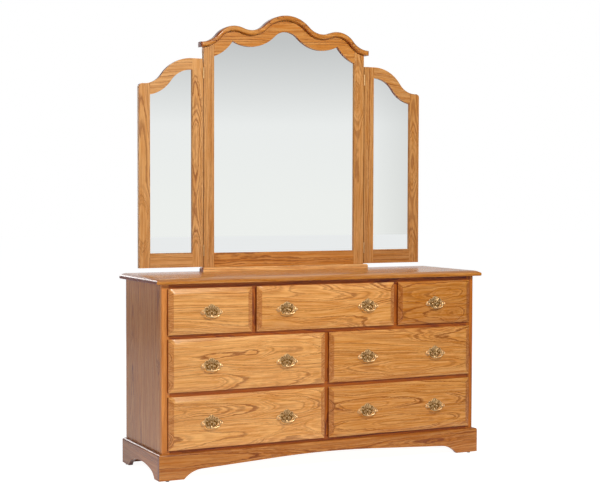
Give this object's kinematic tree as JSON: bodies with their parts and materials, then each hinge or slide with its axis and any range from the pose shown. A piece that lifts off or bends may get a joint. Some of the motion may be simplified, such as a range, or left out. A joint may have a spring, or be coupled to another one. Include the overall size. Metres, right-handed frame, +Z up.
{
  "type": "dresser",
  "caption": "Oak dresser with bevelled lipped drawers, brass bail pulls, an arched plinth and a folding three-part mirror with a serpentine crest.",
  "frame": {"origin": "on the floor, under the middle of the bounding box of the whole piece", "axes": "+X across the front to the viewer's right, +Y from the drawer fronts to the back, +Z up"},
  "size_m": [1.584, 0.504, 2.009],
  "materials": {
    "oak": "satin lacquered oak",
    "oak_fronts": "satin lacquered oak, grain across",
    "inner_wood": "plain sanded wood and plywood",
    "drawer_box_wood": "clear lacquered maple",
    "brass": "antique brass",
    "mirror_glass": "silvered mirror glass",
    "glide": "matte black"
  },
  "bodies": {
    "case": {"case_side_left": "oak", "case_side_right": "oak", "case_top": "oak", "face_frame_stiles": "oak", "face_frame_rails": "oak", "case_back": "inner_wood", "dust_panels": "inner_wood", "drawer_runners": "inner_wood", "base_front_apron": "oak", "base_side_boards": "oak", "foot_glides": "glide", "mirror_base_board": "oak", "centre_mirror_stiles": "oak", "centre_mirror_rails": "oak", "crest_moulding": "oak", "centre_mirror_glass": "mirror_glass", "centre_mirror_back": "inner_wood", "mirror_support_frame": "inner_wood", "centre_hinge_leaves": "brass"},
    "drawer_top_left": {"drawer_front_top_left": "oak_fronts", "drawer_box_top_left": "drawer_box_wood", "pull_plates_top_left": "brass"},
    "bail_top_left_body": {"bail_top_left": "brass"},
    "drawer_top_middle": {"drawer_front_top_middle": "oak_fronts", "drawer_box_top_middle": "drawer_box_wood", "pull_plates_top_middle": "brass"},
    "bail_top_middle_left_body": {"bail_top_middle_left": "brass"},
    "bail_top_middle_right_body": {"bail_top_middle_right": "brass"},
    "drawer_top_right": {"drawer_front_top_right": "oak_fronts", "drawer_box_top_right": "drawer_box_wood", "pull_plates_top_right": "brass"},
    "bail_top_right_body": {"bail_top_right": "brass"},
    "drawer_middle_left": {"drawer_front_middle_left": "oak_fronts", "drawer_box_middle_left": "drawer_box_wood", "pull_plates_middle_left": "brass"},
    "bail_middle_left_left_body": {"bail_middle_left_left": "brass"},
    "bail_middle_left_right_body": {"bail_middle_left_right": "brass"},
    "drawer_middle_right": {"drawer_front_middle_right": "oak_fronts", "drawer_box_middle_right": "drawer_box_wood", "pull_plates_middle_right": "brass"},
    "bail_middle_right_left_body": {"bail_middle_right_left": "brass"},
    "bail_middle_right_right_body": {"bail_middle_right_right": "brass"},
    "drawer_bottom_left": {"drawer_front_bottom_left": "oak_fronts", "drawer_box_bottom_left": "drawer_box_wood", "pull_plates_bottom_left": "brass"},
    "bail_bottom_left_left_body": {"bail_bottom_left_left": "brass"},
    "bail_bottom_left_right_body": {"bail_bottom_left_right": "brass"},
    "drawer_bottom_right": {"drawer_front_bottom_right": "oak_fronts", "drawer_box_bottom_right": "drawer_box_wood", "pull_plates_bottom_right": "brass"},
    "bail_bottom_right_left_body": {"bail_bottom_right_left": "brass"},
    "bail_bottom_right_right_body": {"bail_bottom_right_right": "brass"},
    "wing_left": {"wing_frame_left": "oak", "wing_glass_left": "mirror_glass", "wing_back_left": "inner_wood", "wing_hinge_leaves_left": "brass"},
    "wing_right": {"wing_frame_right": "oak", "wing_glass_right": "mirror_glass", "wing_back_right": "inner_wood", "wing_hinge_leaves_right": "brass"}
  },
  "joints": [
    {"name": "drawer_top_left_slide", "type": "slide", "parent": "case", "child": "drawer_top_left", "axis": [0, -1, 0], "range_m": [0, 0.3]},
    {"name": "bail_top_left_swing", "type": "hinge", "parent": "drawer_top_left", "child": "bail_top_left_body", "pos_m": [-0.547, -0.247, 0.697], "axis": [-1, 0, 0], "range_deg": [-8, 100]},
    {"name": "drawer_top_middle_slide", "type": "slide", "parent": "case", "child": "drawer_top_middle", "axis": [0, -1, 0], "range_m": [0, 0.3]},
    {"name": "bail_top_middle_left_swing", "type": "hinge", "parent": "drawer_top_middle", "child": "bail_top_middle_left_body", "pos_m": [-0.19816, -0.247, 0.697], "axis": [-1, 0, 0], "range_deg": [-8, 100]},
    {"name": "bail_top_middle_right_swing", "type": "hinge", "parent": "drawer_top_middle", "child": "bail_top_middle_right_body", "pos_m": [0.19816, -0.247, 0.697], "axis": [-1, 0, 0], "range_deg": [-8, 100]},
    {"name": "drawer_top_right_slide", "type": "slide", "parent": "case", "child": "drawer_top_right", "axis": [0, -1, 0], "range_m": [0, 0.3]},
    {"name": "bail_top_right_swing", "type": "hinge", "parent": "drawer_top_right", "child": "bail_top_right_body", "pos_m": [0.547, -0.247, 0.697], "axis": [-1, 0, 0], "range_deg": [-8, 100]},
    {"name": "drawer_middle_left_slide", "type": "slide", "parent": "case", "child": "drawer_middle_left", "axis": [0, -1, 0], "range_m": [0, 0.3]},
    {"name": "bail_middle_left_left_swing", "type": "hinge", "parent": "drawer_middle_left", "child": "bail_middle_left_left_body", "pos_m": [-0.547, -0.247, 0.472], "axis": [-1, 0, 0], "range_deg": [-8, 100]},
    {"name": "bail_middle_left_right_swing", "type": "hinge", "parent": "drawer_middle_left", "child": "bail_middle_left_right_body", "pos_m": [-0.19816, -0.247, 0.472], "axis": [-1, 0, 0], "range_deg": [-8, 100]},
    {"name": "drawer_middle_right_slide", "type": "slide", "parent": "case", "child": "drawer_middle_right", "axis": [0, -1, 0], "range_m": [0, 0.3]},
    {"name": "bail_middle_right_left_swing", "type": "hinge", "parent": "drawer_middle_right", "child": "bail_middle_right_left_body", "pos_m": [0.19816, -0.247, 0.472], "axis": [-1, 0, 0], "range_deg": [-8, 100]},
    {"name": "bail_middle_right_right_swing", "type": "hinge", "parent": "drawer_middle_right", "child": "bail_middle_right_right_body", "pos_m": [0.547, -0.247, 0.472], "axis": [-1, 0, 0], "range_deg": [-8, 100]},
    {"name": "drawer_bottom_left_slide", "type": "slide", "parent": "case", "child": "drawer_bottom_left", "axis": [0, -1, 0], "range_m": [0, 0.3]},
    {"name": "bail_bottom_left_left_swing", "type": "hinge", "parent": "drawer_bottom_left", "child": "bail_bottom_left_left_body", "pos_m": [-0.547, -0.247, 0.232], "axis": [-1, 0, 0], "range_deg": [-8, 100]},
    {"name": "bail_bottom_left_right_swing", "type": "hinge", "parent": "drawer_bottom_left", "child": "bail_bottom_left_right_body", "pos_m": [-0.19816, -0.247, 0.232], "axis": [-1, 0, 0], "range_deg": [-8, 100]},
    {"name": "drawer_bottom_right_slide", "type": "slide", "parent": "case", "child": "drawer_bottom_right", "axis": [0, -1, 0], "range_m": [0, 0.3]},
    {"name": "bail_bottom_right_left_swing", "type": "hinge", "parent": "drawer_bottom_right", "child": "bail_bottom_right_left_body", "pos_m": [0.19816, -0.247, 0.232], "axis": [-1, 0, 0], "range_deg": [-8, 100]},
    {"name": "bail_bottom_right_right_swing", "type": "hinge", "parent": "drawer_bottom_right", "child": "bail_bottom_right_right_body", "pos_m": [0.547, -0.247, 0.232], "axis": [-1, 0, 0], "range_deg": [-8, 100]},
    {"name": "wing_left_fold", "type": "hinge", "parent": "case", "child": "wing_left", "pos_m": [-0.4105, 0.1886, 1.328], "axis": [0, 0, 1], "range_deg": [0, 165]},
    {"name": "wing_right_fold", "type": "hinge", "parent": "case", "child": "wing_right", "pos_m": [0.4105, 0.1886, 1.328], "axis": [0, 0, -1], "range_deg": [0, 165]}
  ]
}
